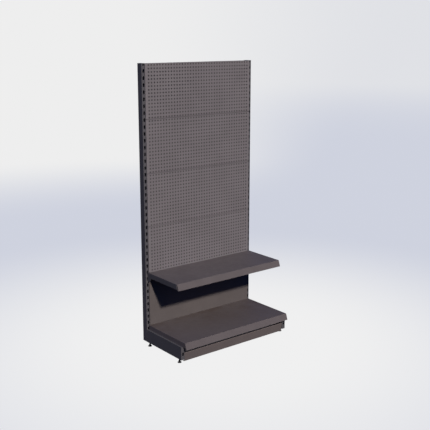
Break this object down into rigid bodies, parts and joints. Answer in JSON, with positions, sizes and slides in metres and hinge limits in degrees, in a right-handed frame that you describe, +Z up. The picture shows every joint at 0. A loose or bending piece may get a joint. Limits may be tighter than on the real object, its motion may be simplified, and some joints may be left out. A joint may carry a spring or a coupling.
{
  "type": "gondola shelving unit",
  "caption": "Single-sided wall shelving bay: slotted uprights, perforated back panels over a plain one, a bracketed shelf and a base shelf with plinth and levelling feet.",
  "frame": {"origin": "on the floor, under the centre of the bay's outline seen from above", "axes": "+Z up, +X along the bay to the right as seen from the front, +Y to the wall behind the bay, so the shelves face -Y"},
  "size_m": [1.03, 0.547, 2.143],
  "materials": {
    "frame_coat": "fine-textured matt anthracite powder coat",
    "panel_coat": "fine-textured matt anthracite powder coat",
    "bracket_coat": "fine-textured matt anthracite powder coat",
    "shelf_coat": "fine-textured matt anthracite powder coat",
    "plinth_coat": "fine-textured matt anthracite powder coat",
    "zinc_fastener": "bright zinc plate",
    "leveller_steel": "black zinc plate",
    "leveller_foot": "matt black moulded nylon",
    "black_plastic": "matt black moulded polypropylene"
  },
  "bodies": {
    "frame": {"upright_left": "frame_coat", "upright_right": "frame_coat", "cross_rail_upper": "frame_coat", "cross_rail_lower": "frame_coat", "base_foot_left": "frame_coat", "base_foot_right": "frame_coat", "perforated_panel_1": "panel_coat", "perforated_panel_2": "panel_coat", "perforated_panel_3": "panel_coat", "perforated_panel_4": "panel_coat", "plain_panel": "panel_coat", "cross_rail_bolts": "zinc_fastener", "base_foot_bolts": "zinc_fastener", "leveller_nuts": "zinc_fastener", "plinth_clip_screws": "zinc_fastener", "upright_top_plug_left": "black_plastic", "upright_top_plug_right": "black_plastic", "upright_base_plug_left": "black_plastic", "upright_base_plug_right": "black_plastic", "plinth_clip_left": "black_plastic", "plinth_clip_right": "black_plastic"},
    "shelf_bracket_left": {"shelf_bracket_left": "bracket_coat"},
    "shelf_bracket_right": {"shelf_bracket_right": "bracket_coat"},
    "upper_shelf": {"upper_shelf": "shelf_coat", "upper_shelf_stiffener_rear": "shelf_coat", "upper_shelf_stiffener_front": "shelf_coat"},
    "base_shelf": {"base_shelf": "shelf_coat", "base_shelf_stiffener_rear": "shelf_coat", "base_shelf_stiffener_front": "shelf_coat"},
    "plinth": {"plinth": "plinth_coat"},
    "leveller_pad_rear_left": {"leveller_pad_rear_left": "leveller_foot"},
    "leveller_stem_rear_left": {"leveller_stem_rear_left": "leveller_steel"},
    "leveller_pad_rear_right": {"leveller_pad_rear_right": "leveller_foot"},
    "leveller_stem_rear_right": {"leveller_stem_rear_right": "leveller_steel"},
    "leveller_pad_front_left": {"leveller_pad_front_left": "leveller_foot"},
    "leveller_stem_front_left": {"leveller_stem_front_left": "leveller_steel"},
    "leveller_pad_front_right": {"leveller_pad_front_right": "leveller_foot"},
    "leveller_stem_front_right": {"leveller_stem_front_right": "leveller_steel"}
  },
  "joints": [
    {"name": "leveller_rear_left_height", "type": "slide", "parent": "frame", "child": "leveller_pad_rear_left", "axis": [0, 0, 1], "range_m": [-0.015, 0.012]},
    {"name": "leveller_rear_left_screw", "type": "hinge", "parent": "leveller_pad_rear_left", "child": "leveller_stem_rear_left", "pos_m": [-0.5, 0.2025, 0.05], "axis": [0, 0, 1], "range_deg": [-3600, 2880]},
    {"name": "leveller_rear_right_height", "type": "slide", "parent": "frame", "child": "leveller_pad_rear_right", "axis": [0, 0, 1], "range_m": [-0.015, 0.012]},
    {"name": "leveller_rear_right_screw", "type": "hinge", "parent": "leveller_pad_rear_right", "child": "leveller_stem_rear_right", "pos_m": [0.5, 0.2025, 0.05], "axis": [0, 0, 1], "range_deg": [-3600, 2880]},
    {"name": "leveller_front_left_height", "type": "slide", "parent": "frame", "child": "leveller_pad_front_left", "axis": [0, 0, 1], "range_m": [-0.015, 0.012]},
    {"name": "leveller_front_left_screw", "type": "hinge", "parent": "leveller_pad_front_left", "child": "leveller_stem_front_left", "pos_m": [-0.5, -0.1855, 0.05], "axis": [0, 0, 1], "range_deg": [-3600, 2880]},
    {"name": "leveller_front_right_height", "type": "slide", "parent": "frame", "child": "leveller_pad_front_right", "axis": [0, 0, 1], "range_m": [-0.015, 0.012]},
    {"name": "leveller_front_right_screw", "type": "hinge", "parent": "leveller_pad_front_right", "child": "leveller_stem_front_right", "pos_m": [0.5, -0.1855, 0.05], "axis": [0, 0, 1], "range_deg": [-3600, 2880]},
    {"name": "left_bracket_unhook", "type": "slide", "parent": "frame", "child": "shelf_bracket_left", "axis": [0, 0, 1], "range_m": [0, 0.012]},
    {"name": "right_bracket_unhook", "type": "slide", "parent": "frame", "child": "shelf_bracket_right", "axis": [0, 0, 1], "range_m": [0, 0.012]},
    {"name": "upper_shelf_lift_off", "type": "slide", "parent": "shelf_bracket_left", "child": "upper_shelf", "axis": [0, 0, 1], "range_m": [0, 0.06]},
    {"name": "base_shelf_lift_off", "type": "slide", "parent": "frame", "child": "base_shelf", "axis": [0, 0, 1], "range_m": [0, 0.1]},
    {"name": "plinth_pull_off", "type": "slide", "parent": "frame", "child": "plinth", "axis": [0, -1, 0], "range_m": [0, 0.05]}
  ],
  "couplings": [
    {"joint": "leveller_rear_left_screw", "follows": "leveller_rear_left_height", "rad_per_m": 4188.8},
    {"joint": "leveller_rear_right_screw", "follows": "leveller_rear_right_height", "rad_per_m": 4188.8},
    {"joint": "leveller_front_left_screw", "follows": "leveller_front_left_height", "rad_per_m": 4188.8},
    {"joint": "leveller_front_right_screw", "follows": "leveller_front_right_height", "rad_per_m": 4188.8},
    {"joint": "right_bracket_unhook", "follows": "left_bracket_unhook", "ratio": 1}
  ]
}
